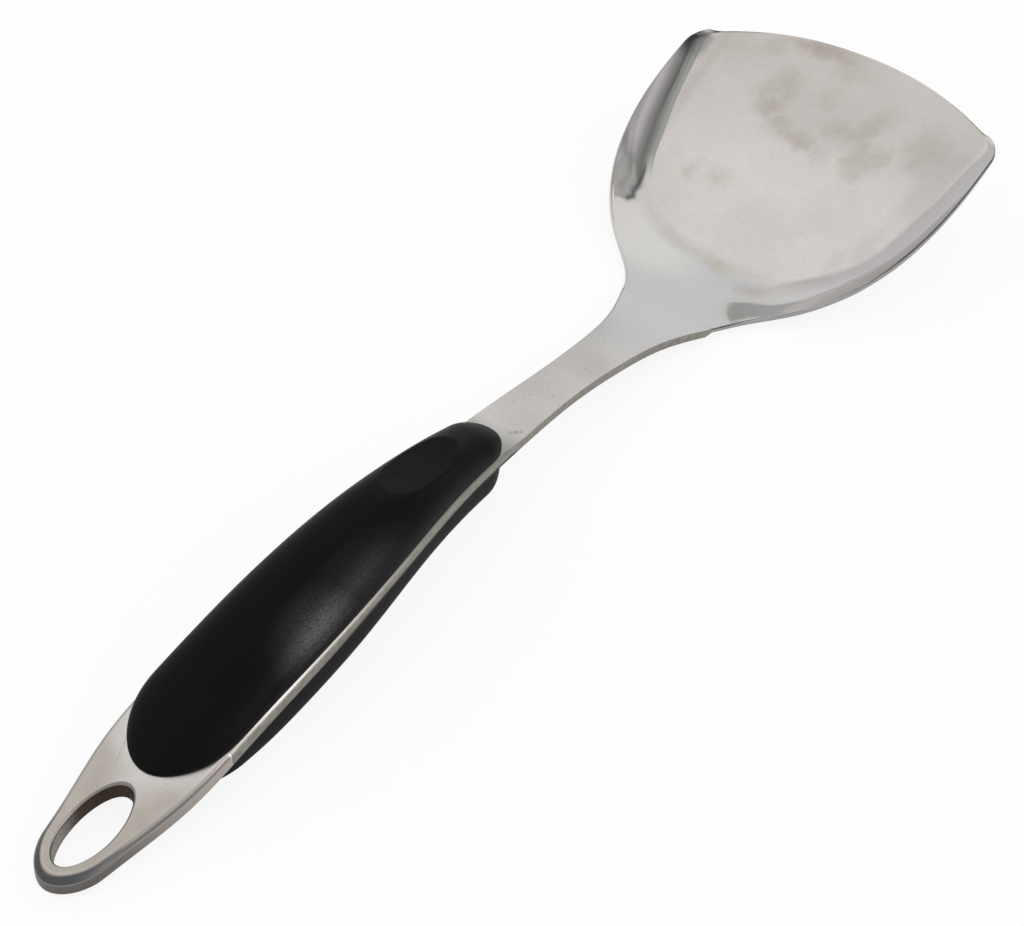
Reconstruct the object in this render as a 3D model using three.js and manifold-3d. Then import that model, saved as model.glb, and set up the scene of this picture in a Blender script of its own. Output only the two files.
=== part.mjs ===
import * as THREE from 'three';
import { mergeVertices } from 'three/addons/utils/BufferGeometryUtils.js';
import Module from 'manifold-3d';

// A wok spatula: a pressed steel blade welded to a steel handle bar, a cast hanging loop
// welded to the bar's rear end, and two plastic grips pinned to the bar from above and below.
// Millimetres, +Z up. It lies as on a table, on the tip of its tail and the heel of its blade.
// X runs from the tail to the front edge, and Y = 0 is the middle plane.

// Lengths along the spatula
const loopLength = 42; // tip of the tail to the weld at the loop
const barLength = 202; // weld to weld, through the grips and the neck
const bladeLength = 116; // weld at the neck to the middle of the front edge
const loopWeldLength = 0.6;
const bladeWeldLength = 1.8;
const handleLength = loopLength + barLength;
const overallLength = handleLength + bladeLength;

// Widths and heights
const bladeWidth = 108;
const handleWidth = 27; // at the rear of the grips
const neckWidth = 13.2;
const tipWidth = 13.6; // of the tail, before its end is rounded off
const tipRounding = 8.5; // length of the tail's rounded end
const archHeight = 19.7; // top of the bar above the table, at its highest
const rimHeight = 6.6; // sides of the blade above its floor
const frontBulge = 14.4; // bow of the front edge past its corners
const frontCornerRadius = 5;
const frontCurve = 2.2; // squareness of the front edge's bow
const floorAngle = THREE.MathUtils.degToRad(23); // the blade's floor to the table

// Metal
const bladeThickness = 1.5;
const neckThickness = 2.8;
const bandThickness = 3.8; // the bar where it shows between the grips
const tailThickness = 5.2;
const tailEdgeRadius = 2.3;
const bandEdgeRadius = 1.3;
const neckEdgeRadius = 0.3;

// Hanging hole
const holeLength = 21.2;
const holeWidth = 10.8;
const holeToTip = 4; // metal left between the hole and the tip
const holeEdgeRadius = 0.9;

// Grips
const gripStart = 29.3; // from the tip of the tail
const gripLength = 127;
const gripInset = 0.4; // step from the bar's edge to the grip's side
const crownHeight = 10.3; // upper grip above the bar
const bellyDepth = 11.4; // lower grip below the bar
const rearRounding = 17.9; // length of the grips' rear ends in plan
const frontRounding = 10;
const seatGap = 0.3; // between a grip and the bar
const thumbRestLength = 29;
const thumbRestWidth = 13;
const thumbRestDepth = 1.7;
const thumbRestToFront = 31; // its middle to the front of the grip

// Pins
const pinDiameter = 4;
const pinBite = 5; // how far a pin reaches into each grip
const pinClearance = 0.3;
const pinChamfer = 0.5;
const pinPlaceShares = [0.25, 0.55, 0.84]; // of the grip's length
const pinNames = ['grip_pin_rear', 'grip_pin_middle', 'grip_pin_front'];

// Shapes: a place as a share of a length, then a height or width as a share of its size
const handleHeightShares = [
  [0.0615, 0.355], [0.164, 0.614], [0.307, 0.868], [0.471, 1],
  [0.615, 0.914], [0.758, 0.726], [0.881, 0.487], [0.984, 0.249],
];
const gripWidthShares = [[0.123, 0.935], [0.197, 1], [0.307, 1], [0.43, 0.881], [0.553, 0.648]];
const tailWidthShares = [[0, 1], [0.0615, 1.4]];
const neckWidthShares = [[0.656, 1.127], [0.758, 1], [0.861, 1.12], [0.943, 1.52]];
const bladeWidthShares = [
  [0.009, 0.275], [0.112, 0.39], [0.207, 0.6], [0.31, 0.774],
  [0.44, 0.898], [0.612, 0.976], [0.74, 0.996], [0.876, 1],
];
const tailThicknessShares = [[0, 1], [0.061, 0.95], [0.172, 0.87]];
const bandThicknessShares = [[0.41, 1], [0.574, 0.95]];
const neckThicknessShares = [[0.676, 1], [0.82, 1.03], [1, 0.9]];
const tailEdgeShares = [[0, 1], [0.061, 0.78], [0.172, 0.61]];
const bandEdgeShares = [[0.41, 1], [0.594, 0.92]];
const neckEdgeShares = [[0.66, 1], [0.83, 1], [1, 1]];
const rimRiseShares = [
  [0.01, 0], [0.06, 0.02], [0.155, 0.36], [0.267, 0.97],
  [0.397, 1.04], [0.569, 0.8], [0.72, 0.5], [0.871, 0.14],
];
const creaseShares = [
  [0, 0.4], [0.207, 0.32], [0.31, 0.47], [0.362, 0.61], [0.431, 0.735],
  [0.543, 0.79], [0.647, 0.83], [0.767, 0.87], [0.888, 0.92],
];
const crownShares = [
  [0, 0.42], [0.084, 0.54], [0.21, 0.71], [0.336, 0.85], [0.462, 0.94],
  [0.588, 0.99], [0.714, 0.98], [0.84, 0.85], [0.92, 0.64], [1, 0.4],
];
const bellyShares = [
  [0, 0.2], [0.09, 0.39], [0.18, 0.78], [0.32, 1], [0.478, 0.99],
  [0.635, 0.79], [0.793, 0.75], [0.95, 0.81], [1, 0.83],
];
const heelShare = 0.207; // of the blade's length, where it touches the table
const creaseShare = 0.277; // where the floor's plane would meet the heel's level
const floorShare = 0.345; // where the flat floor begins
const wallCurve = 2; // how the side walls steepen from the floor to their rims
const crownExponent = 2.3; // roundness of the upper grip's section
const bellyExponent = 4; // squareness of the lower grip's section
const endExponent = 2; // roundness of the grips' and the tail's ends
const underShare = 0.5; // height of the lower edges' rounding against the upper edges'
const sideWallShare = 0.06; // of a grip's stand-off, straight before it rounds over
const bowlDepthShare = 3; // depth of the whole bowl against the thumb rest's
const bowlWidthShare = 1.48; // half the bowl's width against the thumb rest's
const bowExponent = 1.5; // how the blade's cross lines bow towards its front edge

// Facets
const barSteps = 44;
const bladeSteps = 30;
const gripSteps = 34;
const edgeSteps = 3;
const floorSteps = 3;
const wallSteps = 4;
const cornerSteps = 4;
const sectionSteps = 18;
const tailSideSteps = 24;
const tailEndSteps = 6;
const tailFaceSteps = 3;
const roundSteps = 20;
const bowlSteps = 32;
const gripEndTurn = 0.09; // radians left off each end of a grip's row of sections

const steelColour = 0xc4bfbb;
const plasticColour = 0x0b0b0c;
const steelRoughness = 0.35;
const plasticRoughness = 0.5;

const wasm = await Module();
wasm.setup();

// Smooth curve through points, free at its start, with a set slope at its end if one is given
function smoothCurve(points, endSlope) {
  const last = points.length - 1;
  const gap = (i) => points[i + 1][0] - points[i][0];
  const slope = (i) => (points[i + 1][1] - points[i][1]) / gap(i);
  const lower = [0];
  const right = [0];
  for (let i = 1; i < last; i += 1) {
    const pivot = 2 * (gap(i - 1) + gap(i)) - gap(i - 1) * lower[i - 1];
    lower.push(gap(i) / pivot);
    right.push((6 * (slope(i) - slope(i - 1)) - gap(i - 1) * right[i - 1]) / pivot);
  }
  const bend = new Array(last + 1).fill(0);
  if (endSlope !== undefined) {
    const pivot = 2 * gap(last - 1) - gap(last - 1) * lower[last - 1];
    bend[last] = (6 * (endSlope - slope(last - 1)) - gap(last - 1) * right[last - 1]) / pivot;
  }
  for (let i = last - 1; i > 0; i -= 1) bend[i] = right[i] - lower[i] * bend[i + 1];
  return (x) => {
    const at = THREE.MathUtils.clamp(x, points[0][0], points[last][0]);
    let i = 0;
    while (i < last - 1 && at > points[i + 1][0]) i += 1;
    const a = (points[i + 1][0] - at) / gap(i);
    const b = 1 - a;
    const curved = (a ** 3 - a) * bend[i] + (b ** 3 - b) * bend[i + 1];
    return a * points[i][1] + b * points[i + 1][1] + (curved * gap(i) ** 2) / 6;
  };
}

// Rows of shares turned into points: start and length along X, then the size they share
function rows(shares, start, length, size) {
  return shares.map(([along, share]) => [start + along * length, share * size]);
}

const heelX = handleLength + heelShare * bladeLength;
const floorX = handleLength + floorShare * bladeLength;
const cornerX = overallLength - frontBulge;
const floorSlope = Math.tan(floorAngle);
const floorTop = (x) => bladeThickness + floorSlope * (x - handleLength - creaseShare * bladeLength);

const risingTop = smoothCurve([
  [0, tailThickness],
  ...rows(handleHeightShares, 0, handleLength, archHeight),
  [heelX, bladeThickness],
  [floorX, floorTop(floorX)],
], floorSlope);

// Height of the metal's top face along the middle
function topAt(x) {
  return x < floorX ? risingTop(x) : floorTop(x);
}

const bodyHalfWidth = smoothCurve([
  ...rows(tailWidthShares, 0, handleLength, tipWidth / 2),
  ...rows(gripWidthShares, 0, handleLength, handleWidth / 2),
  ...rows(neckWidthShares, 0, handleLength, neckWidth / 2),
  ...rows(bladeWidthShares, handleLength, bladeLength, bladeWidth / 2),
]);

// Quarter ellipse from 0 at the end of a piece to 1 at its rounding's length
function endShare(distance, rounding, exponent) {
  const left = 1 - Math.min(Math.max(distance, 0) / rounding, 1);
  return (1 - left ** exponent) ** (1 / exponent);
}

// Half the metal's width, with the tail's end rounded
function halfWidthAt(x) {
  return bodyHalfWidth(x) * endShare(x, tipRounding, endExponent);
}

const thicknessAt = smoothCurve([
  ...rows(tailThicknessShares, 0, handleLength, tailThickness),
  ...rows(bandThicknessShares, 0, handleLength, bandThickness),
  ...rows(neckThicknessShares, 0, handleLength, neckThickness),
]);

// Radius of the metal's upper edges; its lower edges are sharper
const edgeRadiusAt = smoothCurve([
  ...rows(tailEdgeShares, 0, handleLength, tailEdgeRadius),
  ...rows(bandEdgeShares, 0, handleLength, bandEdgeRadius),
  ...rows(neckEdgeShares, 0, handleLength, neckEdgeRadius),
]);

// Turns an indexed mesh so that its faces point out, and shades it
function finish(positions, indices) {
  const geometry = new THREE.BufferGeometry();
  geometry.setAttribute('position', new THREE.Float32BufferAttribute(positions, 3));
  const a = new THREE.Vector3();
  const b = new THREE.Vector3();
  const c = new THREE.Vector3();
  let volume = 0;
  for (let i = 0; i < indices.length; i += 3) {
    a.fromArray(positions, 3 * indices[i]);
    b.fromArray(positions, 3 * indices[i + 1]);
    c.fromArray(positions, 3 * indices[i + 2]);
    volume += a.dot(b.cross(c));
  }
  geometry.setIndex(volume < 0 ? indices.slice().reverse() : indices);
  geometry.computeVertexNormals();
  return geometry;
}

// Joins rings of points into one closed body. Closed rings of rings need no caps. Otherwise the
// two end rings are capped between their first half, which runs one way, and their second half,
// which runs back.
function loft(rings, closed) {
  const count = rings[0].length;
  const positions = rings.flat().flatMap((p) => [p.x, p.y, p.z]);
  const indices = [];
  const quad = (a, b, c, d) => indices.push(a, b, c, a, c, d);
  const spans = closed ? rings.length : rings.length - 1;
  for (let i = 0; i < spans; i += 1) {
    const here = i * count;
    const next = ((i + 1) % rings.length) * count;
    for (let k = 0; k < count; k += 1) {
      const after = (k + 1) % count;
      quad(here + k, here + after, next + after, next + k);
    }
  }
  if (!closed) {
    const end = (rings.length - 1) * count;
    for (let k = 0; k < count / 2 - 1; k += 1) {
      const across = count - 1 - k;
      quad(across, across - 1, k + 1, k);
      quad(end + k, end + k + 1, end + across - 1, end + across);
    }
  }
  return finish(positions, indices);
}

function toSolid(geometry) {
  const bare = geometry.clone();
  bare.deleteAttribute('normal');
  bare.deleteAttribute('uv');
  const merged = mergeVertices(bare);
  return new wasm.Manifold(new wasm.Mesh({
    numProp: 3,
    vertProperties: new Float32Array(merged.attributes.position.array),
    triVerts: new Uint32Array(merged.index.array),
  }));
}

function toGeometry(solid) {
  const mesh = solid.getMesh();
  return finish(Array.from(mesh.vertProperties), Array.from(mesh.triVerts));
}

// Evenly spaced values from first to last
function spread(first, last, steps) {
  return Array.from({ length: steps + 1 }, (_, i) => first + ((last - first) * i) / steps);
}

// Section of a flat strip with rounded edges, across X: its top row, then its bottom row back
function stripSection(x, half, thickness, radius) {
  const top = topAt(x);
  const corner = spread(0, Math.PI / 2, edgeSteps).map((turn) => [
    -half + radius * (1 - Math.cos(turn)),
    radius * (1 - Math.sin(turn)),
  ]);
  const mirrored = corner.map(([y, drop]) => [-y, drop]).reverse();
  const row = [...corner, [0, 0], ...mirrored];
  const upper = row.map(([y, drop]) => new THREE.Vector3(x, y, top - drop));
  const lower = row.map(([y, drop]) => new THREE.Vector3(x, y, top - thickness + drop * underShare));
  return [...upper, ...lower.reverse()];
}

function barSection(x) {
  return stripSection(x, halfWidthAt(x), thicknessAt(x), edgeRadiusAt(x));
}

// A round pin's or bore's body along Z, with chamfered ends
function roundBar(radius, length, chamfer) {
  const profile = [
    [0, 0], [radius - chamfer, 0], [radius, chamfer],
    [radius, length - chamfer], [radius - chamfer, length], [0, length],
  ];
  const turned = new THREE.LatheGeometry(profile.map((p) => new THREE.Vector2(...p)), roundSteps);
  turned.rotateX(Math.PI / 2);
  return turned;
}

const pinPlaces = pinPlaceShares.map((share) => gripStart + share * gripLength);
const pinBottom = (x) => topAt(x) - thicknessAt(x) - pinBite;
const pinLength = (x) => thicknessAt(x) + 2 * pinBite;

// Room for the pins, with clearance all round and at both ends
function pinRoom(x) {
  const length = pinLength(x) + 2 * pinClearance;
  const bore = roundBar(pinDiameter / 2 + pinClearance, length, 0);
  bore.translate(x, 0, pinBottom(x) - pinClearance);
  return toSolid(bore);
}

function cutPinRooms(solid) {
  return pinPlaces.reduce((left, x) => left.subtract(pinRoom(x)), solid);
}

function pin(x) {
  const body = roundBar(pinDiameter / 2, pinLength(x), pinChamfer);
  body.translate(x, 0, pinBottom(x));
  return body;
}

// Neck and the plate between the grips, in one bar
function neckBar() {
  const start = loopLength + loopWeldLength;
  const rings = spread(start, handleLength, barSteps).map(barSection);
  return toGeometry(cutPinRooms(toSolid(loft(rings, false))));
}

// Thin slice of weld metal between the loop and the bar
function loopWeld() {
  return loft([loopLength, loopLength + loopWeldLength].map(barSection), false);
}

// Outline of the tail from one side round the tip to the other, at even steps of its length
function tailOutline(end) {
  const side = spread(0, 1, tailSideSteps).map((share) => end * share ** 2);
  const right = side.map((x) => new THREE.Vector2(x, -halfWidthAt(x))).reverse();
  const left = side.slice(1).map((x) => new THREE.Vector2(x, halfWidthAt(x)));
  const back = spread(1, -1, tailEndSteps).slice(1, -1)
    .map((share) => new THREE.Vector2(end, share * halfWidthAt(end)));
  return [...right, ...left, ...back];
}

// Unit normals of a closed outline, which point into it
function inwardNormals(outline) {
  return outline.map((_, i) => {
    const before = outline[(i + outline.length - 1) % outline.length];
    const after = outline[(i + 1) % outline.length];
    const along = after.clone().sub(before).normalize();
    return new THREE.Vector2(along.y, -along.x);
  });
}

// Cast tail: rings run round its rim, over its top, down the hole's wall and back underneath
function hangLoop() {
  const holeX = holeToTip + holeLength / 2;
  const outline = tailOutline(loopLength + tailEdgeRadius);
  const inward = inwardNormals(outline);
  const rings = outline.map((edge, i) => {
    const turn = Math.atan2((edge.y * 2) / holeWidth, ((edge.x - holeX) * 2) / holeLength);
    const hole = new THREE.Vector2(
      holeX + (Math.cos(turn) * holeLength) / 2,
      (Math.sin(turn) * holeWidth) / 2,
    );
    const radius = edgeRadiusAt(edge.x);
    const face = edge.clone().addScaledVector(inward[i], radius);
    const away = face.clone().sub(hole).normalize();
    const mouth = hole.clone().addScaledVector(away, holeEdgeRadius);
    const rim = spread(0, Math.PI / 2, edgeSteps).map((angle) => [
      edge.clone().addScaledVector(inward[i], radius * (1 - Math.cos(angle))),
      radius * (1 - Math.sin(angle)),
    ]);
    const faces = spread(0, 1, tailFaceSteps).slice(1, -1)
      .map((share) => [face.clone().lerp(mouth, share), 0]);
    const lip = spread(Math.PI / 2, 0, edgeSteps).map((angle) => [
      hole.clone().addScaledVector(away, holeEdgeRadius * (1 - Math.cos(angle))),
      holeEdgeRadius * (1 - Math.sin(angle)),
    ]);
    const path = [...rim, ...faces, ...lip];
    const upper = path.map(([p, drop]) => new THREE.Vector3(p.x, p.y, topAt(p.x) - drop));
    const under = (p) => topAt(p.x) - thicknessAt(p.x);
    const lower = path.map(([p, drop]) => new THREE.Vector3(p.x, p.y, under(p) + drop * underShare));
    return [...upper, ...lower.reverse()];
  });
  const whole = toSolid(loft(rings, true));
  const size = new THREE.Vector3(2 * tailEdgeRadius, 2 * handleWidth, 2 * archHeight);
  const beyond = new THREE.BoxGeometry(...size.toArray());
  beyond.translate(loopLength + tailEdgeRadius, 0, 0);
  return toGeometry(whole.subtract(toSolid(beyond)));
}

const rimRise = smoothCurve(rows(rimRiseShares, handleLength, bladeLength, rimHeight));
const creaseAt = smoothCurve(rows(creaseShares, handleLength, bladeLength, 1));

// Ends of the blade's cross lines on its rim, with the front corner rounded
function rimPoints(start) {
  const straight = spread(start, cornerX - frontCornerRadius, bladeSteps)
    .map((x) => new THREE.Vector2(x, bodyHalfWidth(x)));
  const corner = new THREE.Vector2(cornerX, bladeWidth / 2);
  const reach = bladeWidth / 2 - frontCornerRadius;
  const front = new THREE.Vector2(
    overallLength - frontBulge * ((2 * reach) / bladeWidth) ** frontCurve,
    reach,
  );
  const bend = new THREE.QuadraticBezierCurve(straight[bladeSteps], corner, front);
  return [...straight, ...bend.getPoints(cornerSteps).slice(1)];
}

// One cross line of the blade, from rim to rim, as a ring of its top and bottom rows
function bladeSection(rim, start, frontReach) {
  const along = Math.max(rim.x - heelX, 0) / (frontReach.x - heelX);
  const bow = (overallLength - frontReach.x) * along ** bowExponent;
  const crease = creaseAt(rim.x);
  const floor = spread(0, crease, floorSteps);
  const wall = spread(crease, 1, wallSteps).slice(1);
  const half = [...floor, ...wall];
  const shares = [...half.slice(1).map((share) => -share).reverse(), ...half];
  const slopeStep = (x) => topAt(x + bladeThickness) - topAt(x);
  const upper = [];
  const lower = [];
  for (const share of shares) {
    const x = rim.x + bow * (1 - Math.abs(share) ** frontCurve);
    const out = Math.max(Math.abs(share) - crease, 0) / (1 - crease);
    const rise = rimRise(rim.x) * out ** wallCurve;
    const tiltAlong = slopeStep(x) / bladeThickness;
    const wallRun = rim.y * (1 - crease);
    const tiltAcross = (wallCurve * rimRise(rim.x) * out ** (wallCurve - 1)) / wallRun;
    const drop = bladeThickness * Math.hypot(1, tiltAlong, tiltAcross);
    const z = topAt(x) + rise;
    upper.push(new THREE.Vector3(x, share * rim.y, z));
    lower.push(new THREE.Vector3(x, share * rim.y, x > start ? z - drop : z - bladeThickness));
  }
  return [...upper, ...lower.reverse()];
}

// Pressed pan with a flat floor, turned-up sides and a bowed front edge
function blade() {
  const start = handleLength + bladeWeldLength;
  const rims = rimPoints(start);
  const frontReach = rims[rims.length - 1];
  return loft(rims.map((rim) => bladeSection(rim, start, frontReach)), false);
}

// Weld between the thick bar and the thin blade: flush on top, stepped down underneath
function bladeWeld() {
  const end = handleLength + bladeWeldLength;
  return loft([
    stripSection(handleLength, halfWidthAt(handleLength), thicknessAt(handleLength), neckEdgeRadius),
    stripSection(end, halfWidthAt(end), bladeThickness, neckEdgeRadius),
  ], false);
}

const gripEnd = gripStart + gripLength;
const gripPlace = (x) => (x - gripStart) / gripLength;
const crownCurve = smoothCurve(crownShares);
const bellyCurve = smoothCurve(bellyShares);

function gripHalfWidth(x) {
  const rounded = endShare(x - gripStart, rearRounding, endExponent)
    * endShare(gripEnd - x, frontRounding, endExponent);
  return (halfWidthAt(x) - gripInset) * rounded;
}

// How far a grip stands off the bar along its middle
function standOff(x, curve, height) {
  const rounded = endShare(x - gripStart, rearRounding, endExponent)
    * endShare(gripEnd - x, frontRounding, endExponent);
  return height * curve(gripPlace(x)) * rounded;
}

// Section of a grip: flat against the bar, with low straight sides, then rounded by the exponent
function gripSection(x, seat, reach, exponent, side) {
  const half = gripHalfWidth(x);
  const wall = reach * sideWallShare;
  const arc = spread(0, Math.PI, sectionSteps).map((turn) => {
    const across = Math.cos(turn);
    const y = -Math.sign(across) * Math.abs(across) ** (2 / exponent) * half;
    const off = wall + (reach - wall) * Math.abs(Math.sin(turn)) ** (2 / exponent);
    return new THREE.Vector3(x, y, seat + side * off);
  });
  const flat = arc.map((p) => new THREE.Vector3(x, p.y, seat));
  return [...arc, ...flat.reverse()];
}

// Body of a grip on one side of the bar: side is 1 above it and -1 below it
function gripBody(curve, height, exponent, side) {
  const turns = spread(gripEndTurn, Math.PI - gripEndTurn, gripSteps);
  const rings = turns.map((turn) => {
    const x = gripStart + (gripLength * (1 - Math.cos(turn))) / 2;
    const face = side > 0 ? topAt(x) : topAt(x) - thicknessAt(x);
    return gripSection(x, face + side * seatGap, standOff(x, curve, height), exponent, side);
  });
  return cutPinRooms(toSolid(loft(rings, false)));
}

const crownAt = (x) => topAt(x) + seatGap + standOff(x, crownCurve, crownHeight);

// Shallow bowl for the thumb, tilted with the crown of the grip
function thumbBowl() {
  const middle = gripEnd - thumbRestToFront;
  const lengthShare = Math.sqrt(1 - (1 - 1 / bowlDepthShare) ** 2);
  const bowl = new THREE.SphereGeometry(1, bowlSteps, bowlSteps / 2);
  bowl.scale(
    thumbRestLength / 2 / lengthShare,
    thumbRestWidth * bowlWidthShare,
    thumbRestDepth * bowlDepthShare,
  );
  const reach = thumbRestLength / 2;
  const tilt = Math.atan2(crownAt(middle + reach) - crownAt(middle - reach), thumbRestLength);
  bowl.rotateY(-tilt);
  bowl.translate(middle, 0, crownAt(middle) - thumbRestDepth + thumbRestDepth * bowlDepthShare);
  return toSolid(bowl);
}

function upperGrip() {
  return toGeometry(gripBody(crownCurve, crownHeight, crownExponent, 1).subtract(thumbBowl()));
}

function lowerGrip() {
  return toGeometry(gripBody(bellyCurve, bellyDepth, bellyExponent, -1));
}

const spatula = new THREE.Group();
spatula.name = 'wok_spatula';
spatula.position.x = -overallLength / 2;

function addPiece(name, geometry, colour, roughness, metalness) {
  const material = new THREE.MeshStandardMaterial({ color: colour, roughness, metalness });
  const piece = new THREE.Mesh(geometry, material);
  piece.name = name;
  spatula.add(piece);
}

function addSteel(name, geometry) {
  addPiece(name, geometry, steelColour, steelRoughness, 1);
}

function addPlastic(name, geometry) {
  addPiece(name, geometry, plasticColour, plasticRoughness, 0);
}

addSteel('blade', blade());
addSteel('blade_weld', bladeWeld());
addSteel('neck_bar', neckBar());
addSteel('loop_weld', loopWeld());
addSteel('hang_loop', hangLoop());
addPlastic('upper_grip', upperGrip());
addPlastic('lower_grip', lowerGrip());
pinPlaces.forEach((x, i) => addSteel(pinNames[i], pin(x)));

export default spatula;
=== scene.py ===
import bmesh
import bpy
import math
import numpy as np
from mathutils import Matrix, Vector


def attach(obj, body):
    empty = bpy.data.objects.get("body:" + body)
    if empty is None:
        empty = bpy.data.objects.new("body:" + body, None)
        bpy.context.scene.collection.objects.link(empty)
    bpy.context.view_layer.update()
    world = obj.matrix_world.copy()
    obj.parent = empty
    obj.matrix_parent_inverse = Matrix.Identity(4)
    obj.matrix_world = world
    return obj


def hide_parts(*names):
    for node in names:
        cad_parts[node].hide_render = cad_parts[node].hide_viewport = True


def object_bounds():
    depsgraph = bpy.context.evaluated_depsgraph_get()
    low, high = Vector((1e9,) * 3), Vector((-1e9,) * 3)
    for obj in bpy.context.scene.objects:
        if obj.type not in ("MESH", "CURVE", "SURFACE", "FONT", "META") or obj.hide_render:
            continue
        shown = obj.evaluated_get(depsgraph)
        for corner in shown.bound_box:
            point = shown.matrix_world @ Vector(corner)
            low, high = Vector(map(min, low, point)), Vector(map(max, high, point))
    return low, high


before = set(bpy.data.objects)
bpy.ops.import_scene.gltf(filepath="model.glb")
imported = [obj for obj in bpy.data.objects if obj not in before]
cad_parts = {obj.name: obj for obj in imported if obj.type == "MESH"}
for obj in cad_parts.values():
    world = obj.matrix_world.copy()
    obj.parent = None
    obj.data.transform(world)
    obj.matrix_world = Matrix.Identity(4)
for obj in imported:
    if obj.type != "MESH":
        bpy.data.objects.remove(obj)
cad_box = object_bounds()

MM = 0.001

# Camera: its place in mm in the frame, its turn from +X towards +Y, its dip below the horizon and its roll
camera_place = (-312.7, -180.2, 316.5)
camera_turn = math.radians(30.951)
camera_dip = math.radians(42.192)
camera_roll = math.radians(5.445)
focal_length = 63.28
sensor_width = 36

forward = Vector((math.cos(camera_turn) * math.cos(camera_dip),
                  math.sin(camera_turn) * math.cos(camera_dip),
                  -math.sin(camera_dip)))
level_right = forward.cross(Vector((0, 0, 1))).normalized()
level_up = level_right.cross(forward)
right = level_right * math.cos(camera_roll) + level_up * math.sin(camera_roll)
up = right.cross(forward)
camera_data = bpy.data.cameras.new("camera")
camera_data.lens = focal_length
camera_data.sensor_width = sensor_width
camera = bpy.data.objects.new("camera", camera_data)
camera.matrix_world = Matrix((
    (right.x, up.x, -forward.x, camera_place[0] * MM),
    (right.y, up.y, -forward.y, camera_place[1] * MM),
    (right.z, up.z, -forward.z, camera_place[2] * MM),
    (0, 0, 0, 1)))
bpy.context.scene.collection.objects.link(camera)
bpy.context.scene.camera = camera
bpy.context.scene.view_settings.view_transform = "Standard"

# Sizes of the spatula, in mm
loop_length = 42
bar_length = 202
blade_length = 116
loop_weld_length = 0.6
blade_weld_length = 1.8
handle_length = loop_length + bar_length
overall_length = handle_length + blade_length

blade_width = 108
handle_width = 27
neck_width = 13.2
tip_width = 13.6
tip_rounding = 8.5
arch_height = 19.7
rim_height = 6.6
front_bulge = 14.4
front_corner_radius = 5
front_curve = 2.2
floor_slope = math.tan(math.radians(23))

blade_thickness = 1.5
neck_thickness = 2.8
band_thickness = 3.8
tail_thickness = 5.2
tail_edge_radius = 2.3
band_edge_radius = 1.3
neck_edge_radius = 0.3
blade_edge_radius = 0.5

hole_length = 21.2
hole_width = 10.8
hole_to_tip = 4
hole_middle = hole_to_tip + hole_length / 2
hole_edge_radius = 0.9

grip_start = 29.3
grip_length = 127
grip_inset = 0.4
crown_height = 10.3
belly_depth = 11.4
rear_rounding = 17.9
front_rounding = 10
seat_gap = 0.3
thumb_rest_length = 37
thumb_rest_width = 16.5
thumb_rest_depth = 1.7
thumb_rest_to_front = 31
thumb_rest_softness = 0.12
grip_border = 9
dust_border = 1

# Curves, each as shares of a length along and of a size across
handle_height_shares = [(0.0615, 0.355), (0.164, 0.614), (0.307, 0.868), (0.471, 1),
                        (0.615, 0.914), (0.758, 0.726), (0.881, 0.487), (0.984, 0.249)]
grip_width_shares = [(0.123, 0.935), (0.197, 1), (0.307, 1), (0.43, 0.881), (0.553, 0.648)]
tail_width_shares = [(0, 1), (0.0615, 1.4)]
neck_width_shares = [(0.656, 1.127), (0.758, 1), (0.861, 1.12), (0.943, 1.52)]
blade_width_shares = [(0.009, 0.275), (0.112, 0.39), (0.207, 0.6), (0.31, 0.774),
                      (0.44, 0.898), (0.612, 0.976), (0.74, 0.996), (0.876, 1)]
tail_thickness_shares = [(0, 1), (0.061, 0.95), (0.172, 0.87)]
band_thickness_shares = [(0.41, 1), (0.574, 0.95)]
neck_thickness_shares = [(0.676, 1), (0.82, 1.03), (1, 0.9)]
tail_edge_shares = [(0, 1), (0.061, 0.78), (0.172, 0.61)]
band_edge_shares = [(0.41, 1), (0.594, 0.92)]
neck_edge_shares = [(0.66, 1), (0.83, 1), (1, 1)]
rim_rise_shares = [(0.01, 0), (0.06, 0.02), (0.155, 0.36), (0.267, 0.97),
                   (0.397, 1.04), (0.569, 0.8), (0.72, 0.5), (0.871, 0.14)]
crease_shares = [(0, 0.4), (0.207, 0.32), (0.31, 0.47), (0.362, 0.61), (0.431, 0.735),
                 (0.543, 0.79), (0.647, 0.83), (0.767, 0.87), (0.888, 0.92)]
crown_shares = [(0, 0.42), (0.084, 0.54), (0.21, 0.71), (0.336, 0.85), (0.462, 0.94),
                (0.588, 0.99), (0.714, 0.98), (0.84, 0.85), (0.92, 0.64), (1, 0.4)]
belly_shares = [(0, 0.2), (0.09, 0.39), (0.18, 0.78), (0.32, 1), (0.478, 0.99),
                (0.635, 0.79), (0.793, 0.75), (0.95, 0.81), (1, 0.83)]
heel_share = 0.207
crease_place_share = 0.277
floor_share = 0.345
under_share = 0.5
side_wall_share = 0.06
bowl_depth_share = 3
bowl_width_share = 1.48
wall_curve = 2
crown_exponent = 2.3
belly_exponent = 4
end_exponent = 2
bow_exponent = 1.5

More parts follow.
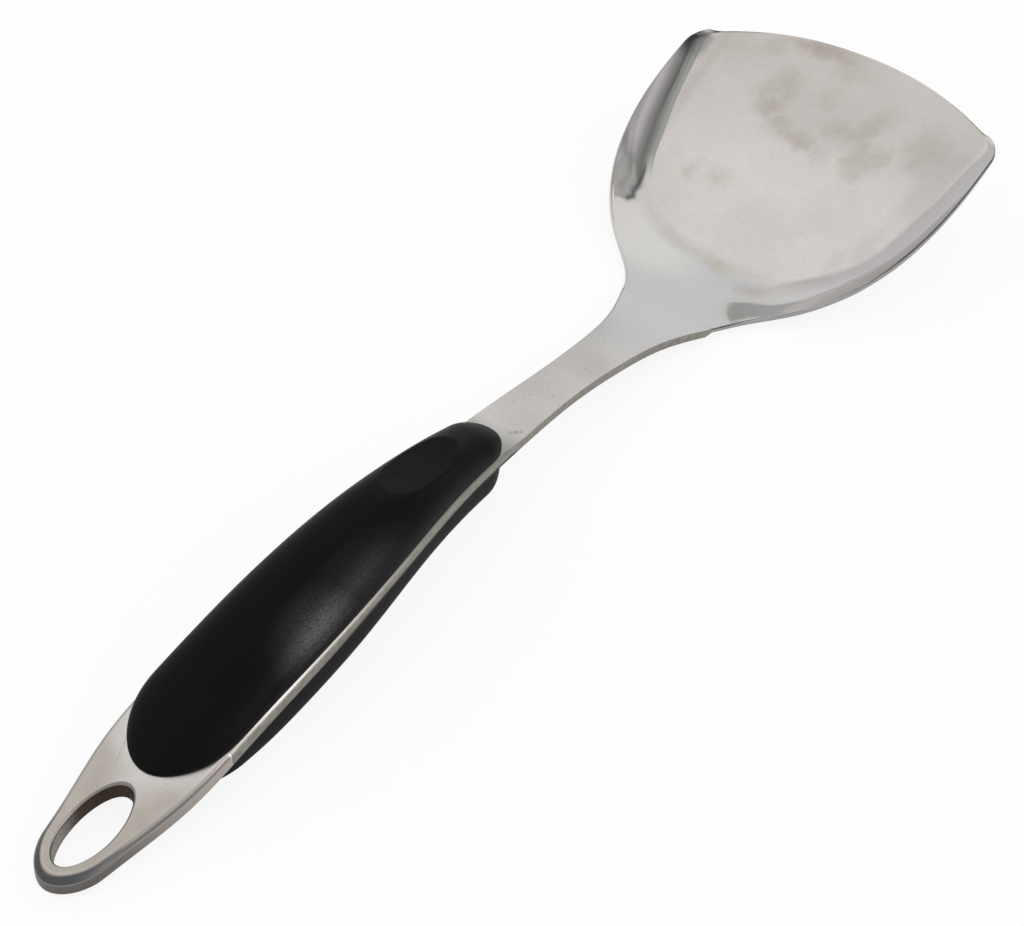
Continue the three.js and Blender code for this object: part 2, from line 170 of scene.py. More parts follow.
# Fineness of the meshes: numbers of steps, and shares of a face or a wall at which rows of points lie
bar_steps = 420
loop_weld_steps = 2
strip_arc_steps = 8
strip_face_shares = (0.97, 0.85, 0.6, 0.3)
strip_upper_wall_shares = (0.15, 0.5)
strip_lower_wall_shares = (0.85, 0.5001)    # the last row stays a hair apart from the upper one
tail_side_steps = 90
tail_back_steps = 24
tail_rim_steps = 9
tail_mouth_steps = 7
tail_face_shares = (0.03, 0.12, 0.25, 0.4, 0.55, 0.7, 0.82, 0.92, 0.97)
tail_wall_shares = (0.12, 0.5, 0.88)
tail_spare_length = 2.5
blade_steps = 150
blade_corner_steps = 8
blade_floor_steps = 14
blade_wall_steps = 26
blade_edge_steps = 5
grip_top_steps, grip_top_steps_around = 330, 130
grip_bottom_steps, grip_bottom_steps_around = 200, 90
grip_end_turn = 0.012                       # in radians, from the very tip to the first section

# Angles in degrees from which an edge is sharp, and the distance in metres at which two points are one
metal_sharp_angle = 35
grip_sharp_angle = 50
same_point = 1e-7


# Curves of the whole tool
def smooth_curve(points, end_slope=None):
    """Smooth curve through points, free at its start, with a set slope at its end if one is given."""
    xs, ys = np.array(points, float).T
    last = len(xs) - 1
    gap = np.diff(xs)
    slope = np.diff(ys) / gap
    equations = np.eye(last + 1)
    given = np.zeros(last + 1)
    for i in range(1, last):
        equations[i, i - 1:i + 2] = gap[i - 1], 2 * (gap[i - 1] + gap[i]), gap[i]
        given[i] = 6 * (slope[i] - slope[i - 1])
    if end_slope is not None:
        equations[last, last - 1:] = gap[-1], 2 * gap[-1]
        given[last] = 6 * (end_slope - slope[-1])
    bend = np.linalg.solve(equations, given)

    def at(x):
        x = np.clip(x, xs[0], xs[-1])
        i = np.clip(np.searchsorted(xs, x) - 1, 0, last - 1)
        a = (xs[i + 1] - x) / gap[i]
        b = 1 - a
        curved = (a ** 3 - a) * bend[i] + (b ** 3 - b) * bend[i + 1]
        return a * ys[i] + b * ys[i + 1] + curved * gap[i] ** 2 / 6
    return at


def on_handle(shares, size):
    return [(along * handle_length, share * size) for along, share in shares]


def on_blade(shares, size):
    return [(handle_length + along * blade_length, share * size) for along, share in shares]


heel_x = handle_length + heel_share * blade_length
floor_x = handle_length + floor_share * blade_length
corner_x = overall_length - front_bulge
grip_end = grip_start + grip_length
thumb_rest_x = grip_end - thumb_rest_to_front


def floor_top(x):
    return blade_thickness + floor_slope * (x - handle_length - crease_place_share * blade_length)


rising_top = smooth_curve([(0, tail_thickness),
                           *on_handle(handle_height_shares, arch_height),
                           (heel_x, blade_thickness),
                           (floor_x, floor_top(floor_x))], floor_slope)
body_half_width = smooth_curve([*on_handle(tail_width_shares, tip_width / 2),
                                *on_handle(grip_width_shares, handle_width / 2),
                                *on_handle(neck_width_shares, neck_width / 2),
                                *on_blade(blade_width_shares, blade_width / 2)])
thickness_at = smooth_curve([*on_handle(tail_thickness_shares, tail_thickness),
                             *on_handle(band_thickness_shares, band_thickness),
                             *on_handle(neck_thickness_shares, neck_thickness)])
edge_radius_at = smooth_curve([*on_handle(tail_edge_shares, tail_edge_radius),
                               *on_handle(band_edge_shares, band_edge_radius),
                               *on_handle(neck_edge_shares, neck_edge_radius)])
rim_rise = smooth_curve(on_blade(rim_rise_shares, rim_height))
crease_at = smooth_curve(on_blade(crease_shares, 1))
crown_curve = smooth_curve(crown_shares)
belly_curve = smooth_curve(belly_shares)


def top_at(x):
    return np.where(x < floor_x, rising_top(x), floor_top(x))


def end_rounding(distance, rounding):
    """Share of the full size at a distance from a rounded end: 0 at the end, 1 past the rounding."""
    left = 1 - np.minimum(np.maximum(distance, 0) / rounding, 1)
    return (1 - left ** end_exponent) ** (1 / end_exponent)


def half_width_at(x):
    return body_half_width(x) * end_rounding(x, tip_rounding)


# Meshes
def build(name, points, faces, sharp_angle=metal_sharp_angle, end=None):
    """A closed mesh in metres, with its middle at X = 0, faces outwards and smooth but for its real edges.

    Where an end is given, what lies past that X is cut off and the cut is closed.
    """
    place = np.array(points, float).reshape(-1, 3)
    place[:, 0] -= overall_length / 2
    mesh = bpy.data.meshes.new(name)
    mesh.from_pydata((place * MM).tolist(), [], faces)
    work = bmesh.new()
    work.from_mesh(mesh)
    bmesh.ops.remove_doubles(work, verts=work.verts, dist=same_point)
    if end is not None:
        everything = list(work.verts) + list(work.edges) + list(work.faces)
        cut = ((end - overall_length / 2) * MM, 0, 0)
        bmesh.ops.bisect_plane(work, geom=everything, plane_co=cut, plane_no=(1, 0, 0), clear_outer=True)
        bmesh.ops.edgeloop_fill(work, edges=[edge for edge in work.edges if edge.is_boundary])
    bmesh.ops.recalc_face_normals(work, faces=work.faces)
    if work.calc_volume(signed=True) < 0:
        bmesh.ops.reverse_faces(work, faces=work.faces)
    work.to_mesh(mesh)
    work.free()
    mesh.shade_smooth()
    mesh.set_sharp_from_angle(angle=math.radians(sharp_angle))
    piece = bpy.data.objects.new(name, mesh)
    bpy.context.scene.collection.objects.link(piece)
    return piece


def places(piece):
    """Points of a piece in millimetres, with X from the tip of the tail."""
    return np.array([point.co[:] for point in piece.data.vertices]) / MM + [overall_length / 2, 0, 0]


def mark(piece, name, values):
    """Gives each point of a piece a number that its finish reads."""
    made = piece.data.attributes.new(name, "FLOAT", "POINT")
    made.data.foreach_set("value", np.array(values, np.float32))


def band_faces(rings, count, closed_along=False, closed_round=True):
    """Faces between rows of count points each."""
    faces = []
    for i in range(rings if closed_along else rings - 1):
        here, there = i * count, (i + 1) % rings * count
        for k in range(count if closed_round else count - 1):
            after = (k + 1) % count
            faces.append((here + k, here + after, there + after, there + k))
    return faces


def end_faces(rings, count):
    """Strips that close the first and last ring, whose first half runs one way and second half back."""
    faces = []
    end = (rings - 1) * count
    for k in range(count // 2 - 1):
        across = count - 1 - k
        faces.append((across, across - 1, k + 1, k))
        faces.append((end + k, end + k + 1, end + across - 1, end + across))
    return faces


# Bar and welds
def strip_rings(x, half, thickness, radius):
    """Sections of a flat strip with rounded edges: a top row, then a bottom row back."""
    top = top_at(x)
    wall_height = thickness - radius * (1 + under_share)
    turns = np.linspace(0, math.pi / 2, strip_arc_steps + 1)
    half_row = [(half - radius * (1 - math.cos(turn)), radius * (1 - math.sin(turn))) for turn in turns]
    half_row += [((half - radius) * share, 0 * x) for share in strip_face_shares]
    row = [(-y, drop) for y, drop in half_row] + [(0 * x, 0 * x)] + half_row[::-1]

    def walled(face, shares):
        walls = [[(side * half, top - radius - wall_height * share) for share in shares] for side in (-1, 1)]
        return walls[0][::-1] + face + walls[1]

    upper = walled([(y, top - drop) for y, drop in row], strip_upper_wall_shares)
    lower = walled([(y, top - thickness + drop * under_share) for y, drop in row], strip_lower_wall_shares)
    return np.stack([np.stack([x, y, z], -1) for y, z in upper + lower[::-1]], 1)


def strip(name, x, half, thickness, radius):
    rings = strip_rings(x, half, thickness, radius)
    count, around = rings.shape[:2]
    return build(name, rings, band_faces(count, around) + end_faces(count, around))


def bar_strip(name, start, end, steps):
    x = np.linspace(start, end, steps + 1)
    piece = strip(name, x, half_width_at(x), thickness_at(x), edge_radius_at(x))
    x, _, z = places(piece).T
    mark(piece, "depth", (top_at(x) - z) / thickness_at(x))
    return piece


def blade_weld_bead():
    """Short bead that leads from the bar's thickness to the blade's."""
    x = handle_length + blade_weld_length * np.array([0, 0.5, 1])
    bar_side = thickness_at(handle_length)
    drop = bar_side + (blade_thickness - bar_side) * np.array([0, 0.5, 1])
    return strip("blade_weld_bead", x, half_width_at(x), drop, np.full(3, neck_edge_radius))


# Tail
def tail_outline(end):
    side = end * np.linspace(0, 1, tail_side_steps + 1) ** 2
    right = np.stack([side, -half_width_at(side)], 1)[::-1]
    left = np.stack([side, half_width_at(side)], 1)[1:]
    share = np.linspace(1, -1, tail_back_steps + 1)[1:-1]
    back = np.stack([np.full(len(share), float(end)), share * half_width_at(end)], 1)
    return np.concatenate([right, left, back])


def tail_path(outline):
    """Rows from the rim over the top face into the hole, each as places and as a drop below the top."""
    along = np.roll(outline, -1, 0) - np.roll(outline, 1, 0)
    along /= np.linalg.norm(along, axis=1, keepdims=True)
    inward = np.stack([along[:, 1], -along[:, 0]], 1)
    turn = np.arctan2(outline[:, 1] * 2 / hole_width, (outline[:, 0] - hole_middle) * 2 / hole_length)
    hole = np.stack([hole_middle + np.cos(turn) * hole_length / 2, np.sin(turn) * hole_width / 2], 1)
    radius = edge_radius_at(outline[:, 0])[:, None]
    face = outline + inward * radius
    away = face - hole
    away /= np.linalg.norm(away, axis=1, keepdims=True)
    mouth = hole + away * hole_edge_radius
    path = []
    for angle in np.linspace(0, math.pi / 2, tail_rim_steps + 1):
        path.append((outline + inward * radius * (1 - math.cos(angle)), radius[:, 0] * (1 - math.sin(angle))))
    for share in tail_face_shares:
        path.append((face * (1 - share) + mouth * share, 0 * turn))
    for angle in np.linspace(math.pi / 2, 0, tail_mouth_steps + 1):
        path.append((hole + away * hole_edge_radius * (1 - math.cos(angle)),
                     hole_edge_radius * (1 - math.sin(angle)) + 0 * turn))
    return path


def hang_loop():
    """Cast tail: rings run round its rim, over its top, down the hole's wall and back underneath."""
    upper, lower = [], []
    for point, drop in tail_path(tail_outline(loop_length + tail_spare_length)):
        top = top_at(point[:, 0])
        upper.append(np.column_stack([point, top - drop]))
        lower.append(np.column_stack([point, top - thickness_at(point[:, 0]) + drop * under_share]))

    def wall(a, b):
        return [a * (1 - share) + b * share for share in tail_wall_shares]

    rings = np.stack(upper + wall(upper[-1], lower[-1]) + lower[::-1] + wall(lower[0], upper[0]), 1)
    faces = band_faces(*rings.shape[:2], closed_along=True)
    piece = build("tail_loop", rings, faces, end=loop_length)
    x, y, _ = places(piece).T
    half = (half_width_at(x) - grip_inset) * end_rounding(x - grip_start, rear_rounding)
    gap = np.where(x > grip_start, np.abs(y) - half, np.hypot(x - grip_start, y))
    mark(piece, "by_grip", np.clip(1 - gap / grip_border, 0, 1))
    return piece


# Blade
def rim_points(start):
    """Ends of the blade's cross lines on its rim, with the front corner rounded."""
    x = np.linspace(start, corner_x - front_corner_radius, blade_steps + 1)
    side = np.stack([x, body_half_width(x)], 1)
    corner = np.array([corner_x, blade_width / 2])
    reach = blade_width / 2 - front_corner_radius
    front = np.array([overall_length - front_bulge * (2 * reach / blade_width) ** front_curve, reach])
    share = np.linspace(0, 1, blade_corner_steps + 1)[1:, None]
    bend = (1 - share) ** 2 * side[-1] + 2 * share * (1 - share) * corner + share ** 2 * front
    return np.concatenate([side, bend]), front


def blade_surface(rims, front, shares, start):
    """Top and underside of the blade at shares of the way to its rim, and how steep the top is across."""
    x_rim, y_rim = rims[:, :1], rims[:, 1:]
    along = np.maximum(x_rim - heel_x, 0) / (front[0] - heel_x)
    bow = (overall_length - front[0]) * along ** bow_exponent
    size = np.abs(shares)
    x = x_rim + bow * (1 - size ** front_curve)
    crease = crease_at(x_rim)
    out = np.maximum(size - crease, 0) / (1 - crease)
    rise = rim_rise(x_rim)
    z = top_at(x) + rise * out ** wall_curve
    tilt_along = (top_at(x + blade_thickness) - top_at(x)) / blade_thickness
    wall_run = y_rim * (1 - crease)
    tilt_across = wall_curve * rise * out ** (wall_curve - 1) / wall_run
    drop = blade_thickness * np.sqrt(1 + tilt_along ** 2 + tilt_across ** 2)
    drop = np.where(x_rim > start, drop, blade_thickness)
    y = shares * y_rim
    return np.stack([x, y, z], -1), np.stack([x, y, z - drop], -1), tilt_across


def rounded_edge(upper, lower, at):
    """Draws both surfaces back along their edge line and returns the rows of the rounded edge."""
    a, b = upper[at].copy(), lower[at].copy()
    outward = np.cross(a - b, np.gradient((a + b) / 2, axis=0))
    outward /= np.linalg.norm(outward, axis=1, keepdims=True)
    if outward[len(a) // 2, 0] < 0:
        outward = -outward
    upper[at] = a - outward * blade_edge_radius
    lower[at] = b - outward * blade_edge_radius
    radius_share = blade_edge_radius / blade_thickness
    profile = [(radius_share * (1 - math.cos(angle)), math.sin(angle))
               for angle in np.linspace(0, math.pi / 2, blade_edge_steps + 1)[1:]]
    profile += [(1 - down, out) for down, out in reversed(profile)]
    return [a * (1 - down) + b * down - outward * blade_edge_radius * (1 - out) for down, out in profile]


def blade_faces(along, across, line, edge_rows):
    """Faces of both surfaces, of the rounded edge between them and of the straight rear."""
    faces = band_faces(along, across, closed_round=False)
    under = along * across
    faces += [tuple(under + k for k in reversed(face)) for face in faces]
    top_line = [i * across + k for i, k in line]
    levels = [top_line]
    for j in range(edge_rows):
        levels.append([2 * under + j * len(line) + k for k in range(len(line))])
    levels.append([under + k for k in top_line])
    for above, below in zip(levels, levels[1:]):
        faces += [(above[k], below[k], below[k + 1], above[k + 1]) for k in range(len(line) - 1)]
    near = [level[0] for level in levels[1:-1]]
    far = [level[-1] for level in levels[1:-1]]
    rear = range(across)
    faces.append(tuple([*rear, *far, *(under + k for k in reversed(rear)), *reversed(near)]))
    return faces


def blade_pan():
    """Pressed pan with a flat floor, turned-up sides, a bowed front edge and rounded edges all round."""
    start = handle_length + blade_weld_length
    rims, front = rim_points(start)
    crease = crease_at(rims[:, :1])
    floor = crease * np.linspace(0, 1, blade_floor_steps + 1)
    wall = crease + (1 - crease) * np.linspace(0, 1, blade_wall_steps + 1)[1:]
    half = np.concatenate([floor, wall], 1)
    shares = np.concatenate([-half[:, :0:-1], half], 1)
    upper, lower, steepness = blade_surface(rims, front, shares, start)
    along, across = upper.shape[:2]
    # The edge line runs along one side, round the front and back along the other side
    line = [(i, 0) for i in range(along)]
    line += [(along - 1, k) for k in range(1, across)]
    line += [(i, across - 1) for i in range(along - 2, -1, -1)]
    at = tuple(np.array(line).T)
    edge = rounded_edge(upper, lower, at)
    points = np.concatenate([upper.reshape(-1, 3), lower.reshape(-1, 3), *edge])
    pan = build("blade_pan", points, blade_faces(along, across, line, len(edge)))
    surface = steepness.ravel()
    mark(pan, "steepness", np.concatenate([surface, surface, np.tile(steepness[at], len(edge))]))
    mark(pan, "rim", np.concatenate([np.zeros(2 * surface.size), np.ones(len(edge) * len(line))]))
    return pan


# Grips
def grip_rounding(x):
    return end_rounding(x - grip_start, rear_rounding) * end_rounding(grip_end - x, front_rounding)


def grip_rings(curve, height, exponent, side, steps, around):
    """Sections of a grip: flat against the bar, with low straight sides, then rounded by the exponent."""
    turns = np.linspace(grip_end_turn, math.pi - grip_end_turn, steps + 1)
    x = grip_start + grip_length * (1 - np.cos(turns)) / 2
    rounded = grip_rounding(x)
    half = ((half_width_at(x) - grip_inset) * rounded)[:, None]
    reach = (height * curve((x - grip_start) / grip_length) * rounded)[:, None]
    seat = (top_at(x) + seat_gap if side > 0 else top_at(x) - thickness_at(x) - seat_gap)[:, None]
    wall = reach * side_wall_share
    turn = np.linspace(0, math.pi, around + 1)
    across = np.cos(turn)
    y = -np.sign(across) * np.abs(across) ** (2 / exponent) * half
    off = wall + (reach - wall) * np.abs(np.sin(turn)) ** (2 / exponent)
    place = np.broadcast_to(x[:, None], y.shape)
    arc = np.stack([place, y, seat + side * off], -1)
    flat = np.stack([place, y, np.broadcast_to(seat, y.shape)], -1)
    return np.concatenate([arc, flat[:, ::-1]], 1)


def crown_at(x):
    """Height of the upper grip along its middle."""
    rise = crown_height * crown_curve((x - grip_start) / grip_length) * grip_rounding(x)
    return top_at(x) + seat_gap + rise


def thumb_rest(points):
    """Presses the shallow bowl for the thumb, part of an ellipsoid, into the points of the upper grip."""
    reach = thumb_rest_length / 2
    tilt = math.atan2(crown_at(thumb_rest_x + reach) - crown_at(thumb_rest_x - reach), thumb_rest_length)
    length = reach / math.sqrt(1 - (1 - 1 / bowl_depth_share) ** 2)
    width = thumb_rest_width * bowl_width_share
    height = thumb_rest_depth * bowl_depth_share
    middle_z = crown_at(thumb_rest_x) - thumb_rest_depth + height
    dx, y, z = points[..., 0] - thumb_rest_x, points[..., 1], points[..., 2]
    cosine, sine = math.cos(tilt), math.sin(tilt)
    # On the tilted ellipsoid the height h above its middle solves square h^2 + linear h + constant = 0
    square = (sine / length) ** 2 + (cosine / height) ** 2
    linear = 2 * dx * (cosine * sine / length ** 2 - cosine * sine / height ** 2)
    constant = (cosine * dx / length) ** 2 + (sine * dx / height) ** 2 + (y / width) ** 2 - 1
    inside = linear ** 2 - 4 * square * constant
    low = middle_z + (-linear - np.sqrt(np.maximum(inside, 0))) / (2 * square)
    low = np.where(inside > 0, low, z + grip_length)
    blend = np.clip(0.5 + (low - z) / (2 * thumb_rest_softness), 0, 1)
    points[..., 2] = low * (1 - blend) + z * blend - thumb_rest_softness * blend * (1 - blend)


def grip(name, curve, height, exponent, side, steps, around, press=None):
    rings = grip_rings(curve, height, exponent, side, steps, around)
    if press:
        press(rings[:, :around + 1])
    count, points = rings.shape[:2]
    return build(name, rings, band_faces(count, points) + end_faces(count, points), grip_sharp_angle)


# Shader maths
def operator_pair(operation):
    """Methods for an operator and for its reflected form, each adding one Math node."""
    def plain(self, other):
        return self.shader.maths(operation, self, other)

    def reflected(self, other):
        return self.shader.maths(operation, other, self)
    return plain, reflected


class Value:
    """A socket of a shader tree, so that shader maths reads as plain expressions."""

    def __init__(self, shader, socket):
        self.shader = shader
        self.socket = socket

    __add__, __radd__ = operator_pair("ADD")
    __sub__, __rsub__ = operator_pair("SUBTRACT")
    __mul__, __rmul__ = operator_pair("MULTIPLY")
    __truediv__, __rtruediv__ = operator_pair("DIVIDE")
    __pow__, __rpow__ = operator_pair("POWER")

    def absolute(self):
        return self.shader.maths("ABSOLUTE", self, 0.0)

    def least(self, other):
        return self.shader.maths("MINIMUM", self, other)

    def most(self, other):
        return self.shader.maths("MAXIMUM", self, other)

    def eased(self, low, high):
        """0 before low and 1 past high, smooth between; low may lie above high."""
        if low < high:
            return self.shader.node("ShaderNodeMapRange", {"interpolation_type": "SMOOTHSTEP"},
                                    {"Value": self, "From Min": low, "From Max": high})
        return 1 - self.eased(high, low)


class Shader:
    """The shader tree of a material or of the world."""

    def __init__(self, owner):
        owner.use_nodes = True
        self.tree = owner.node_tree

    def node(self, kind, settings=None, inputs=None, output=0):
        made = self.tree.nodes.new(kind)
        for name, value in (settings or {}).items():
            if name == "stops":
                ramp = made.color_ramp
                while len(ramp.elements) < len(value):
                    ramp.elements.new(0.5)
                for element, (position, colour) in zip(ramp.elements, value):
                    element.position = position
                    element.color = colour
            else:
                setattr(made, name, value)
        for key, value in (inputs or {}).items():
            self.feed(made.inputs[key], value)
        return Value(self, made.outputs[output])

    def feed(self, socket, value):
        if isinstance(value, Value):
            self.tree.links.new(value.socket, socket)
        else:
            socket.default_value = value

    def maths(self, operation, first, second):
        return self.node("ShaderNodeMath", {"operation": operation}, {0: first, 1: second})

    def vector(self, operation, first, second, output=0):
        return self.node("ShaderNodeVectorMath", {"operation": operation}, {0: first, 1: second}, output)

    def split(self, vector):
        parts = self.node("ShaderNodeSeparateXYZ", {}, {0: vector})
        return [Value(self, socket) for socket in parts.socket.node.outputs]

    def mix(self, share, first, second):
        """Colour that is the first at share 0 and the second at share 1."""
        return self.node("ShaderNodeMix", {"data_type": "RGBA"}, {0: share, 6: first, 7: second}, 2)

    def coats(self, colour, layers):
        """The colour under layers, each given as its share and its own colour."""
        for share, layer in layers:
            colour = self.mix(share, colour, layer)
        return colour


class Finish(Shader):
    """A material for one kind of surface."""

    def __init__(self, name):
        self.material = bpy.data.materials.new(name)
        super().__init__(self.material)
        self.surface = self.tree.nodes["Principled BSDF"]

    def set(self, inputs):
        for name, value in inputs.items():
            self.feed(self.surface.inputs[name], value)

    def set_glow(self, colour):
        """Lets the surface shine by itself and take no light."""
        self.set({"Base Color": tint(0, 0, 0), "Roughness": 1.0, "Specular IOR Level": 0.0,
                  "Emission Strength": 1.0, "Emission Color": colour})

    def texture_place(self, kind):
        return self.node("ShaderNodeTexCoord", {}, {}, kind)

    def place(self):
        """Place on the spatula in millimetres from the tip of its tail."""
        from_tip = self.vector("ADD", self.texture_place("Object"), (overall_length / 2 * MM, 0, 0))
        return self.vector("MULTIPLY", from_tip, (1 / MM,) * 3)

    def facing_up(self):
        """Z of the direction that the surface faces."""
        return self.split(self.texture_place("Normal"))[2]

    def attribute(self, name):
        """The numbers that mark has given to the points of a piece."""
        return self.node("ShaderNodeAttribute", {"attribute_name": name}, {}, "Fac")

    def noise(self, place, per_mm, detail=2.0, roughness=0.5, stretch=(1, 1, 1), output=0):
        """Noise about 0.5 with features about 1 / per_mm millimetres long."""
        stretched = self.vector("MULTIPLY", place, stretch)
        return self.node("ShaderNodeTexNoise", {}, {
            "Vector": stretched, "Scale": per_mm, "Detail": detail, "Roughness": roughness}, output)

    def shaken(self, place, per_mm, amount):
        """The place, moved about by noise, for uneven outlines."""
        shake = self.vector("SUBTRACT", self.noise(place, per_mm, 3.0, 0.6, output=1), (0.5, 0.5, 0.5))
        return self.vector("ADD", place, self.vector("MULTIPLY", shake, (amount,) * 3))

    def from_middle(self, place, x, y, half_length, half_width):
        """Distance from a middle in the XY plane, which is 1 on an oval of that half length and width."""
        offset = self.vector("SUBTRACT", place, (x, y, 0))
        scaled = self.vector("MULTIPLY", offset, (1 / half_length, 1 / half_width, 0))
        return self.vector("LENGTH", scaled, (0, 0, 0), "Value")

    def patches(self, place, table, inner):
        """Share of soft oval patches, each given as x, y, half its length, half its width and its strength.

        A patch is full up to the inner share of its size.
        """
        total = None
        for x, y, half_length, half_width, strength in table:
            patch = self.from_middle(place, x, y, half_length, half_width).eased(1.0, inner) * strength
            total = patch if total is None else total.most(patch)
        return total

    def bump(self, height, depth_mm, normal=None):
        """Normal from a height in shares of a depth."""
        inputs = {"Strength": 1.0, "Distance": depth_mm * MM, "Height": height}
        if normal:
            inputs["Normal"] = normal
        return self.node("ShaderNodeBump", {}, inputs)


def tint(red, green, blue):
    return (red, green, blue, 1.0)


# Finishes. Patches are x, y, half length, half width in mm, and strength
olive_stains = [(336, 21, 11, 5, 0.55), (343, 16, 6, 9, 0.6), (338, 12, 9, 5, 0.5), (326, 4, 5, 7, 0.45),
                (333, -8, 6, 10, 0.5), (327, -17, 11, 6, 0.65), (335, -15, 7, 7, 0.6), (330, -24, 7, 5, 0.45),
                (302, 26, 6, 4.5, 0.5), (303, 16, 7, 5, 0.35), (341, 2, 8, 5, 0.35), (275, 0, 4, 7, 0.6),
                (355, 11, 6, 19, 0.3), (352, 27, 7, 7, 0.5)]
brown_stains = [(331, 16, 6, 6, 0.8), (327, 10, 6, 8, 0.6), (324, 2, 5, 8, 0.5), (322, -5, 5, 6, 0.3),
                (320, -19, 6, 6, 0.4), (341, -18, 9, 7, 0.4), (326, -22, 8, 6, 0.35), (338, 16, 8, 6, 0.4),
                (336, -34, 14, 8, 0.4), (347, 38, 14, 13, 0.35), (357, 12, 6, 20, 0.85), (352, 0, 7, 12, 0.3),
                (272, -13, 5, 9, 0.5), (332, -10, 7, 12, 0.2), (266, 33, 6, 6, 0.2)]
grey_stains = [(337, -2, 18, 28, 1.0), (350, 5, 14, 36, 0.7), (338, -34, 14, 10, 0.7),
               (292, -31, 7, 4, 0.7), (300, -35.5, 9, 4.5, 0.8)]
bar_pits = [(181.1, -2.6, 0.35, 0.3, 0.9), (198.7, -1.8, 0.35, 0.3, 0.8), (171.7, 3.7, 0.7, 0.2, 0.5),
            (175.2, 2.6, 0.5, 0.2, 0.5), (177.1, 2, 0.6, 0.3, 0.4), (163.5, 1.5, 0.3, 0.3, 0.5),
            (168.7, -0.8, 0.3, 0.3, 0.45), (164.5, 6, 0.3, 0.3, 0.5), (214, 2, 0.6, 0.3, 0.35),
            (159.6, -3.5, 0.9, 0.8, 0.35), (160.6, -4.5, 1.0, 0.9, 0.5), (161.7, -5.4, 0.9, 0.8, 0.4)]
# Painted glint on the band between the grips
band_glint_patch = [(60, -13, 14, 9, 1.0)]
# Partly wear from hands, partly a painted sheen where the grip's highlight falls
rubbed_and_sheen_patches = [(75, -11, 18, 10, 1.0), (90, -9, 22, 8, 0.4)]
dusty_rest = [(thumb_rest_x, 0, thumb_rest_length / 2 + dust_border, thumb_rest_width / 2 + dust_border, 1.0)]

flare_tint = tint(0.525, 0.527, 0.532)
worn_middle_x, worn_middle_y = 330, -1
worn_length, worn_width = 54, 45
worn_exponent = 3.0


def blade_floor_colour(finish, x, y, cloud, worn_edge, rear):
    """Worn satin steel, polished steel behind it and a faint line where the worn part ends."""
    satin = finish.mix(cloud.eased(0.3, 0.7), tint(0.68, 0.645, 0.62), tint(0.63, 0.595, 0.57))
    toward_front = x.eased(305, 335)
    toward_right = y.eased(-18, -36) * x.eased(334, 318)
    worn = finish.coats(satin, [
        (toward_front * 0.6, tint(0.56, 0.525, 0.495)),
        (toward_right * 0.15, tint(0.76, 0.725, 0.70))])
    rear_left = finish.mix(cloud.eased(0.35, 0.65), tint(0.655, 0.63, 0.61), tint(0.63, 0.64, 0.595))
    toward_left_wall = y.eased(-4, 18) * x.eased(256, 270)
    polished = finish.mix(toward_left_wall, flare_tint, rear_left)
    edge_line = worn_edge.eased(0.9, 0.98) * worn_edge.eased(1.06, 0.99) * y.eased(-22, -12)
    return finish.coats(worn, [(rear, polished), (edge_line * 0.3, tint(0.40, 0.37, 0.33))])


def blade_wall_colour(finish, steel, x, y, left, steepness, on_wall):
    """Polished walls, whose tint is their polish, with painted reflections: darker at the foot of the right
    one and beside it, and along the fold and the crease line of the left one.
    """
    foot_front = x.eased(278, 292)
    foot = finish.mix(foot_front, tint(0.50, 0.485, 0.465), tint(0.585, 0.56, 0.555))
    beside_right_wall = y.eased(-34, -40) * x.eased(306, 318) * x.eased(345, 337)
    left_wall_rear = left * x.eased(287, 277)
    wall = finish.mix(left_wall_rear, tint(0.59, 0.577, 0.574), tint(0.635, 0.612, 0.58))
    fold = left * steepness.eased(0.004, 0.014) * steepness.eased(0.31, 0.22) * x.eased(291, 303)
    crease_line = left * steepness.eased(0.28, 0.33) * steepness.eased(0.43, 0.36) * x.eased(312, 324)
    # The foot, the strip beside the right wall, the fold and the crease line are painted reflections; only
    # the wall tint is the polish
    return finish.coats(steel, [
        (steepness.eased(0.0, 0.09) * (1 - left), foot),
        (beside_right_wall * 0.35, tint(0.46, 0.43, 0.41)),
        (on_wall, wall),
        (fold, tint(0.31, 0.31, 0.295)),
        (crease_line * 0.35, tint(0.22, 0.225, 0.22))])


def blade_rim_colour(finish, steel, x, y, left):
    """Rounded edges with painted shade and painted reflections: dark where they would mirror the lamp,
    lighter on the left rim at the rear and darker toward the front left, darker along the front and dark in
    the left corner.
    """
    rim = finish.attribute("rim")
    face_z = finish.facing_up()
    lamp_side = face_z.eased(0.92, 0.8) * face_z.eased(0.25, 0.4)
    right_rim = finish.mix(lamp_side, tint(0.40, 0.39, 0.385), tint(0.17, 0.172, 0.172))
    toward_corner = x.eased(285, 318)
    left_rim = finish.mix(toward_corner, tint(0.64, 0.635, 0.625), tint(0.17, 0.175, 0.17))
    front_rim = rim * x.eased(346, 350) * y.eased(50, 46.5)
    corner_top = face_z.eased(0.97, 0.88) * x.eased(334, 342) * y.eased(44.5, 48) * x.eased(348, 346)
    corner_rim = rim * left * x.eased(338, 344) * y.eased(45, 47.5)
    # These rim tints are painted shade and painted reflections, not the steel's own colour
    return finish.coats(steel, [
        (rim * (1 - left), right_rim),
        (rim * left, left_rim),
        (front_rim, tint(0.42, 0.40, 0.355)),
        (corner_top.most(corner_rim), tint(0.15, 0.155, 0.15))])


